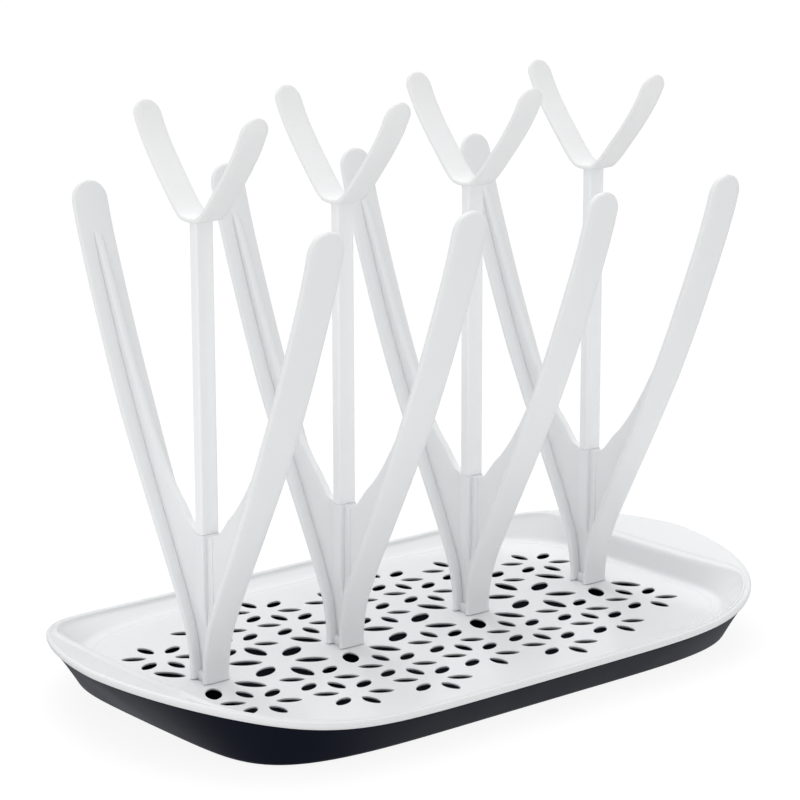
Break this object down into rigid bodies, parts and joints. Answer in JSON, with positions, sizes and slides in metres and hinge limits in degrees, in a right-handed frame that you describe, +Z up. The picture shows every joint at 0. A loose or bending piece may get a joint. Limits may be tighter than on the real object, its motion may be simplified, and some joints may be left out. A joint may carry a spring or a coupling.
{
  "type": "bottle drying rack",
  "caption": "Countertop drying rack for baby bottles: dark base tray, lift-out perforated drip plate and a row of pull-out forked pegs with V-headed centre posts.",
  "frame": {"origin": "middle of the base tray's underside, on the surface the rack stands on", "axes": "+Z up, X along the row of pegs, Y across it; the front faces -Y"},
  "size_m": [0.3466, 0.2004, 0.2634],
  "materials": {
    "tray": "satin moulded plastic, very dark navy",
    "plate": "glossy white moulded plastic",
    "fork": "semi-gloss white moulded plastic",
    "post": "semi-gloss white moulded plastic",
    "head": "semi-gloss white moulded plastic"
  },
  "bodies": {
    "base": {"base_tray": "tray"},
    "plate": {"drip_plate": "plate"},
    "fork_body_1": {"fork_1": "fork"},
    "post_body_1": {"post_1": "post", "head_1": "head"},
    "fork_body_2": {"fork_2": "fork"},
    "post_body_2": {"post_2": "post", "head_2": "head"},
    "fork_body_3": {"fork_3": "fork"},
    "post_body_3": {"post_3": "post", "head_3": "head"},
    "fork_body_4": {"fork_4": "fork"},
    "post_body_4": {"post_4": "post", "head_4": "head"}
  },
  "joints": [
    {"name": "plate_lift", "type": "slide", "parent": "base", "child": "plate", "axis": [0, 0, 1], "range_m": [0, 0.05]},
    {"name": "fork_1_pull", "type": "slide", "parent": "plate", "child": "fork_body_1", "axis": [0, 0, 1], "range_m": [0, 0.025]},
    {"name": "post_1_pull", "type": "slide", "parent": "fork_body_1", "child": "post_body_1", "axis": [0, 0, 1], "range_m": [0, 0.04]},
    {"name": "fork_2_pull", "type": "slide", "parent": "plate", "child": "fork_body_2", "axis": [0, 0, 1], "range_m": [0, 0.025]},
    {"name": "post_2_pull", "type": "slide", "parent": "fork_body_2", "child": "post_body_2", "axis": [0, 0, 1], "range_m": [0, 0.04]},
    {"name": "fork_3_pull", "type": "slide", "parent": "plate", "child": "fork_body_3", "axis": [0, 0, 1], "range_m": [0, 0.025]},
    {"name": "post_3_pull", "type": "slide", "parent": "fork_body_3", "child": "post_body_3", "axis": [0, 0, 1], "range_m": [0, 0.04]},
    {"name": "fork_4_pull", "type": "slide", "parent": "plate", "child": "fork_body_4", "axis": [0, 0, 1], "range_m": [0, 0.025]},
    {"name": "post_4_pull", "type": "slide", "parent": "fork_body_4", "child": "post_body_4", "axis": [0, 0, 1], "range_m": [0, 0.04]}
  ]
}
